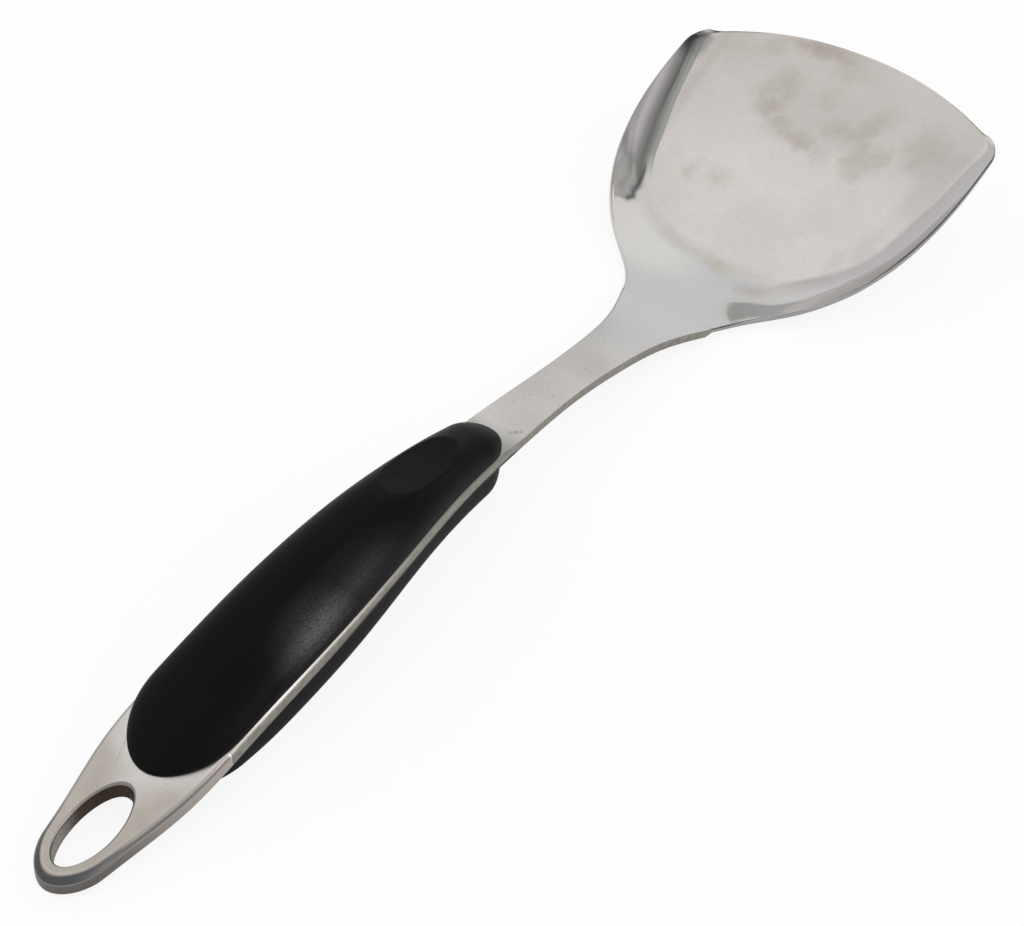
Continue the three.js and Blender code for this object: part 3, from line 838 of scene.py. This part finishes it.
def blade_stains(finish, steel, place, floor, grime, specks):
    """Grey, olive and brown heat stains and fine specks on the floor."""
    shaken = finish.shaken(place, 0.16, 9.0)
    speckle = grime.eased(0.25, 0.75) * 0.4 + 0.6
    olive = finish.patches(shaken, olive_stains, 0.0) * speckle * floor
    brown = finish.patches(shaken, brown_stains, 0.0) * speckle * floor
    greyed = finish.patches(shaken, grey_stains, 0.3) * floor
    return finish.coats(steel, [
        (greyed * 0.2, tint(0.36, 0.33, 0.30)),
        (olive * 0.9375, tint(0.40, 0.385, 0.285)),
        (brown * 0.9, tint(0.36, 0.315, 0.275)),
        (specks.eased(0.45, 0.8) * floor * 0.22, tint(0.38, 0.35, 0.31))])


def blade_finish():
    """Steel that is worn satin on the floor, polished on the walls and the rear, with heat stains."""
    finish = Finish("blade_steel")
    place = finish.place()
    x, y, _ = finish.split(place)
    steepness = finish.attribute("steepness")
    left = y.eased(-5, 5)
    front = x.eased(284, 300)
    on_left_wall = (steepness.eased(0.004, 0.05) * front + steepness.eased(0.0, 0.4) * (1 - front)) * left
    on_wall = on_left_wall + steepness.eased(0.0, 0.45) * (1 - left)
    floor = 1 - on_wall
    cloud = finish.noise(place, 0.045, 4.0, 0.55)
    grime = finish.noise(place, 0.35, 4.0, 0.65)
    specks = finish.noise(place, 1.1, 4.0, 0.7)
    fine = finish.noise(place, 1.6, 2.0, 0.5, (0.3, 1.0, 1.0))
    behind = ((x - worn_middle_x) / worn_length).least(0.0).absolute() ** worn_exponent
    beside = ((y - worn_middle_y) / worn_width).absolute() ** worn_exponent
    worn_edge = (behind + beside) ** (1 / worn_exponent) + (grime - 0.5) * 0.05
    rear = worn_edge.eased(0.97, 1.06) * x.eased(312, 298)
    steel = blade_floor_colour(finish, x, y, cloud, worn_edge, rear)
    steel = blade_wall_colour(finish, steel, x, y, left, steepness, on_wall)
    steel = blade_rim_colour(finish, steel, x, y, left)
    steel = blade_stains(finish, steel, place, floor, grime, specks)
    on_floor = (1 - rear) * 0.11 + (cloud - 0.5) * 0.06 + (specks - 0.5) * 0.06
    near_neck = x.eased(262, 246)
    dents = finish.bump(finish.noise(place, 0.07, 1.0, 0.4), 0.12)
    finish.set({"Base Color": steel, "Metallic": 1.0,
                "Roughness": floor * on_floor + 0.08 + near_neck * 0.01,
                "Normal": finish.bump(fine, 0.003, dents)})
    return finish


def bar_finish():
    """Satin strip steel with a few pits and dull, browner cut edges that are also darkened as painted shade;
    painted shade with a painted glint on the band between the grips, and a painted shadow along the joint
    with the lower grip.
    """
    finish = Finish("bar_steel")
    place = finish.place()
    x = finish.split(place)[0]
    face_z = finish.facing_up()
    edge = face_z.eased(0.75, 0.3)
    rounded = face_z.eased(0.98, 0.9)
    cloud = finish.noise(place, 0.05, 4.0, 0.55)
    grime = finish.noise(place, 0.5, 4.0, 0.65)
    fine = finish.noise(place, 6.0, 3.0, 0.6, (0.06, 1.0, 1.0))
    toward_blade = x.eased(205, 238)
    gripped = x.eased(162, 152)
    faces = finish.mix(cloud.eased(0.3, 0.7), tint(0.61, 0.59, 0.57), tint(0.54, 0.515, 0.49))
    # Painted shade on the band between the grips, lighter at its painted glint
    between_grips = finish.mix(finish.patches(place, band_glint_patch, 0.0),
                               tint(0.31, 0.31, 0.29), tint(0.48, 0.475, 0.45))
    # Browner steel on the cut edges, darkened further as painted shade
    cut = finish.mix(grime.eased(0.3, 0.7), tint(0.34, 0.325, 0.29), tint(0.25, 0.235, 0.20))
    # Painted shadow along the joint with the lower grip
    seam_shadow = edge * finish.attribute("depth").eased(0.58, 0.74) * x.eased(66, 96) * x.eased(158, 156)
    pits = finish.patches(finish.shaken(place, 1.2, 0.4), bar_pits, 0.4)
    steel = finish.coats(faces, [
        (toward_blade, flare_tint),
        (gripped, between_grips),
        (edge, cut),
        (seam_shadow, tint(0.018, 0.014, 0.011)),
        (pits, tint(0.20, 0.17, 0.14))])
    satin = x.eased(242, 205)
    uneven = (cloud - 0.5) * 0.12 + (fine - 0.5) * 0.1 + 0.17
    dents = finish.bump(finish.noise(place, 0.12, 2.0, 0.5), 0.03)
    finish.set({"Base Color": steel, "Metallic": 1.0,
                "Roughness": (rounded + edge) * 0.08 + satin * uneven + 0.09,
                "Normal": finish.bump(fine * (satin * 0.9 + 0.1), 0.012, dents)})
    return finish


def tail_finish():
    """Cast steel, beige and satin on its faces and polished on its rounded edges, with painted reflections
    that darken the rounded edges, the bevels and the sides, and painted shade inside the hole.
    """
    finish = Finish("cast_tail_steel")
    place = finish.place()
    x, y, _ = finish.split(place)
    face_z = finish.facing_up()
    tip = x.eased(19, 7)
    by_hole = finish.from_middle(place, hole_middle, 0, hole_length / 2, hole_width / 2).eased(1.3, 1.18)
    off_hole = 1 - by_hole
    bevel = (face_z - tip * 0.2).eased(0.78, 0.66) * off_hole
    rounded = face_z.eased(0.97, 0.85)
    low_bend = face_z.eased(0.42, 0.3) * face_z.eased(0.12, 0.25)
    side = face_z.eased(0.35, 0.1)
    far_side = y.eased(0, 3) * x.eased(14, 26)
    very_tip = x.eased(10, 2)
    toward_grip = x.eased(5, 40)
    hole_rear = x.eased(17, 9)
    cloud = finish.noise(place, 0.09, 4.0, 0.55)
    grime = finish.noise(place, 0.6, 4.0, 0.65)
    grain = finish.noise(place, 4.0, 2.0, 0.6)
    faces = finish.mix(cloud.eased(0.3, 0.7), tint(0.52, 0.48, 0.435), tint(0.455, 0.415, 0.37))
    # Painted reflections on the bevel at the tip: darker at the very tip, lighter on the far side
    tip_bevel = finish.coats(
        finish.mix(face_z.eased(0.85, 0.45), tint(0.122, 0.122, 0.126), tint(0.20, 0.195, 0.19)),
        [(very_tip, tint(0.078, 0.079, 0.084)), (far_side, tint(0.44, 0.41, 0.38))])
    # Over the beige faces and the grime, the rounded edges, bevels, lower bends, sides and the hole's wall
    # carry painted reflections and painted shade
    steel = finish.coats(faces, [
        (finish.attribute("by_grip"), tint(0.66, 0.635, 0.605)),
        (grime.eased(0.62, 0.8) * 0.35, tint(0.30, 0.26, 0.22)),
        (by_hole * rounded, tint(0.22, 0.205, 0.195)),
        (off_hole * rounded, finish.mix(tip, tint(0.335, 0.312, 0.29), tint(0.17, 0.16, 0.15))),
        (bevel, finish.mix(tip, tint(0.17, 0.165, 0.16), tip_bevel)),
        (low_bend * off_hole, finish.mix(tip, tint(0.42, 0.39, 0.36), tint(0.24, 0.23, 0.22))),
        (side * off_hole, finish.mix(toward_grip, tint(0.16, 0.145, 0.135), tint(0.51, 0.452, 0.41))),
        (by_hole * face_z.eased(0.5, 0.2),
         finish.mix(hole_rear, tint(0.085, 0.06, 0.045), tint(0.40, 0.38, 0.35)))])
    uneven = (cloud - 0.5) * 0.12 + (grime - 0.5) * 0.1
    dents = finish.bump(finish.noise(place, 0.2, 2.0, 0.5), 0.04)
    finish.set({"Base Color": steel, "Metallic": 1.0,
                "Roughness": 0.32 - bevel * 0.08 + side * 0.12 + uneven,
                "Normal": finish.bump(grain, 0.01, dents)})
    return finish


def weld_finish():
    """Bright, finely grained weld."""
    finish = Finish("bright_weld_steel")
    grain = finish.noise(finish.place(), 3.0, 2.0, 0.6)
    steel = finish.mix(grain, tint(0.56, 0.54, 0.52), tint(0.46, 0.44, 0.42))
    finish.set({"Base Color": steel, "Metallic": 1.0, "Roughness": grain * 0.1 + 0.3,
                "Normal": finish.bump(grain, 0.02)})
    return finish


def plastic_finish():
    """Black moulded plastic with a fine grain, a dusty thumb rest and a side that hands have worn shiny; that
    shiny coat is also a painted sheen for the grip's highlight, and fades where the side turns down.
    """
    finish = Finish("grained_black_plastic")
    place = finish.place()
    grain = finish.noise(place, 2.4, 3.0, 0.6)
    cloud = finish.noise(place, 0.05, 3.0, 0.5)
    scuffs = finish.noise(place, 0.9, 5.0, 0.7, (0.35, 1.0, 1.0))
    streaks = finish.noise(place, 0.7, 4.0, 0.7, (0.25, 1.0, 1.0))
    dust = finish.patches(place, dusty_rest, 0.7) * (streaks.eased(0.3, 0.7) * 0.8 + grain * 0.3)
    black = finish.mix(cloud, tint(0.0022, 0.0022, 0.0023), tint(0.0036, 0.0034, 0.0034))
    black = finish.coats(black, [
        (dust, tint(0.0062, 0.0062, 0.006)),
        (scuffs.eased(0.6, 0.8) * 0.5, tint(0.012, 0.011, 0.011))])
    # Shinier coat on the worn side, also a painted sheen, fading where the side turns down
    wear_and_sheen = finish.patches(place, rubbed_and_sheen_patches, 0.0) * finish.facing_up().eased(0.08, 0.4)
    finish.set({"Base Color": black, "Specular IOR Level": 0.06,
                "Roughness": (grain - 0.5) * 0.25 + (scuffs - 0.5) * 0.2 + 0.42,
                "Coat Roughness": 0.38, "Coat Weight": wear_and_sheen * ((grain - 0.5) * 2.8 + 0.92),
                "Normal": finish.bump(grain, 0.05)})
    return finish


blade_steel = blade_finish()
bar_steel = bar_finish()
tail_steel = tail_finish()
weld_steel = weld_finish()
black_plastic = plastic_finish()


# Pieces
def dress(piece, finish, slot, *nodes):
    piece.data.materials.clear()
    piece.data.materials.append(finish.material)
    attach(piece, "root")
    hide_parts(*nodes)


bar_start = loop_length + loop_weld_length
dress(blade_pan(), blade_steel, "steel", "blade")
dress(blade_weld_bead(), bar_steel, "steel", "blade_weld")
dress(bar_strip("handle_bar", bar_start, handle_length, bar_steps), bar_steel, "steel", "neck_bar")
dress(bar_strip("loop_weld_line", loop_length, bar_start, loop_weld_steps), weld_steel, "steel", "loop_weld")
dress(hang_loop(), tail_steel, "steel", "hang_loop")
dress(grip("grip_top", crown_curve, crown_height, crown_exponent, 1,
           grip_top_steps, grip_top_steps_around, thumb_rest),
      black_plastic, "grip_plastic", "upper_grip")
dress(grip("grip_bottom", belly_curve, belly_depth, belly_exponent, -1,
           grip_bottom_steps, grip_bottom_steps_around),
      black_plastic, "grip_plastic", "lower_grip")
for node in ("grip_pin_rear", "grip_pin_middle", "grip_pin_front"):
    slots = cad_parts[node].data.materials
    slots.clear()
    slots.append(bar_steel.material)


# Floor, light and reflections, in metres
def stage_mesh(name, corners, faces):
    mesh = bpy.data.meshes.new(name)
    mesh.from_pydata(corners, [], faces)
    piece = bpy.data.objects.new(name, mesh)
    bpy.context.scene.collection.objects.link(piece)
    return piece


def only_reflected(piece, finish):
    piece.data.materials.append(finish.material)
    piece.visible_camera = False
    piece.visible_diffuse = False
    piece.visible_shadow = False
    piece.visible_volume_scatter = False


floor_reach = 4.0
floor_gap = 0.0001
floor_glow = 0.88


def pale_floor():
    """Floor that looks nearly white to the camera and still takes the shadow."""
    corners = [(x * floor_reach, y * floor_reach, 0) for x, y in ((-1, -1), (1, -1), (1, 1), (-1, 1))]
    floor = stage_mesh("floor", corners, [(0, 1, 2, 3)])
    floor.location.z = cad_box[0].z - floor_gap
    finish = Finish("pale_floor")
    finish.set({"Base Color": tint(0.95, 0.95, 0.95), "Roughness": 0.9, "Specular IOR Level": 0.0})
    lit = Value(finish, finish.surface.outputs[0])
    glow = finish.node("ShaderNodeEmission", {}, {"Color": tint(1, 1, 1), "Strength": 1.0})
    from_camera = finish.node("ShaderNodeLightPath", {}, {}, "Is Camera Ray")
    shown = finish.node("ShaderNodeMixShader", {}, {0: from_camera * floor_glow, 1: lit, 2: glow})
    finish.feed(finish.tree.nodes["Material Output"].inputs["Surface"], shown)
    floor.data.materials.append(finish.material)


pale_floor()

# Half a tunnel of grey cloth over the table, seen in the polished walls of the blade.
# Its bands are a height in degrees, a shade and a hue
greenish, rosy = (0.97, 1.0, 0.97), (1.02, 0.97, 0.99)
canopy_bands = [(70, 0.86, greenish), (84, 0.84, greenish), (88, 0.60, greenish), (92, 0.32, greenish),
                (97, 0.26, greenish), (104, 0.33, greenish), (112, 0.44, rosy), (118, 0.60, rosy),
                (126, 0.76, rosy), (131, 0.62, rosy), (137, 0.42, greenish), (184, 0.38, greenish)]
canopy_radius = 1.3
canopy_middle = (0.13, 0.045, 0.02)
canopy_start, canopy_end = 66, 184
canopy_ends = (0.05, 2.2)
canopy_points = 60
to_degrees = 180 / math.pi


def canopy_cloth():
    finish = Finish("canopy_cloth")
    place = finish.texture_place("Object")
    x, y, z = finish.split(place)
    height = finish.maths("ARCTAN2", z, y) * to_degrees
    along = finish.maths("ARCTANGENT", x / canopy_radius, 0.0) * to_degrees
    first, last = canopy_bands[0][0], canopy_bands[-1][0]
    bands = finish.node("ShaderNodeValToRGB", {"stops": [
        ((at - first) / (last - first), tint(*(shade * part for part in hue)))
        for at, shade, hue in canopy_bands]}, {0: (height - first) / (last - first)})
    # The cloth ends on a slanting line, with a dark hem, and the room beyond it is white
    past_line = height - (along - 20) * 0.65 - (along - 46).most(0.0) * 2.0
    corner = along.eased(15.5, 14) * height.eased(78.5, 81)
    covered = past_line.eased(85.5, 87.5).most(corner)
    hem = past_line.eased(91.5, 88) * along.eased(14, 17) * (along.eased(47, 45) * 0.5 + 0.5) * covered
    cloud = finish.noise(place, 4.0, 3.0, 0.6)
    far = finish.mix(cloud.eased(0.35, 0.65), tint(0.36, 0.37, 0.36), tint(0.62, 0.61, 0.59))
    cloth = finish.coats(bands, [
        (along.eased(29, 38), far),
        (along.eased(44, 48), tint(0.64, 0.63, 0.62)),
        (hem * 0.9, tint(0.05, 0.05, 0.055))])
    finish.set_glow(finish.mix(covered, tint(1, 1, 1), cloth))
    return finish


def canopy():
    turns = np.radians(np.linspace(canopy_start, canopy_end, canopy_points))
    corners = [(x, canopy_radius * math.cos(turn), canopy_radius * math.sin(turn))
               for turn in turns for x in canopy_ends]
    faces = [(2 * i, 2 * i + 1, 2 * i + 3, 2 * i + 2) for i in range(canopy_points - 1)]
    piece = stage_mesh("canopy", corners, faces)
    piece.location = canopy_middle
    only_reflected(piece, canopy_cloth())


canopy()


def card(name, middle, distance, colour, fade, directions):
    """A card that may fade to its border; directions are a turn from +X and a height, in degrees."""
    ring = np.radians(np.array(directions, float))
    centre = ring.mean(0)
    rings = [centre + (ring - centre) * share for share in (1.0, fade)] + [centre[None]]
    turn, height = np.concatenate(rings).T
    toward = np.stack([np.cos(turn) * np.cos(height), np.sin(turn) * np.cos(height), np.sin(height)], 1)
    count = len(ring)
    faces = band_faces(2, count) if fade < 1 else []
    faces += [(count + k, count + (k + 1) % count, 2 * count) for k in range(count)]
    piece = stage_mesh(name, (np.array(middle) + toward * distance).tolist(), faces)
    mark(piece, "cover", [0.0 if fade < 1 else 1.0] * count + [1.0] * (count + 1))
    finish = Finish(name + "_cloth")
    finish.set_glow(finish.mix(finish.attribute("cover"), tint(1, 1, 1), colour))
    only_reflected(piece, finish)


blade_rear = (0.09, -0.03, 0.005)
grip_side = (-0.11, -0.01, 0.025)
card("grey_card", blade_rear, 1.5, tint(0.57, 0.57, 0.57), 1.0,
     [(25.5, 19), (25.6, 27.6), (29, 26.9), (32, 23.3), (35, 20.6), (38.6, 16.2),
      (40.6, 10), (41.7, 4.5), (42.1, -1), (31, -1), (27, 12)])
card("lilac_card", blade_rear, 2.2, tint(0.775, 0.765, 0.77), 0.7,
     [(36, -12), (75, -10), (95, 40), (95, 77), (42, 77), (36, 30)])
card("side_lamp", grip_side, 0.3, tint(2.9, 2.65, 2.7), 0.6,
     [(-95, 2), (-95, 58), (-44, 66), (-46, 2)])

# The world is white where it is seen or reflected, and lights a little less
light_strength = 0.95
world = bpy.data.worlds.new("studio")
bpy.context.scene.world = world
sky = Shader(world)
background = sky.tree.nodes["Background"]
seen = sky.node("ShaderNodeLightPath", {}, {}, "Is Camera Ray")
for ray in ("Is Glossy Ray", "Is Transmission Ray"):
    seen = seen.most(sky.node("ShaderNodeLightPath", {}, {}, ray))
sky.feed(background.inputs["Color"], tint(1, 1, 1))
sky.feed(background.inputs["Strength"], seen * (1 - light_strength) + light_strength)
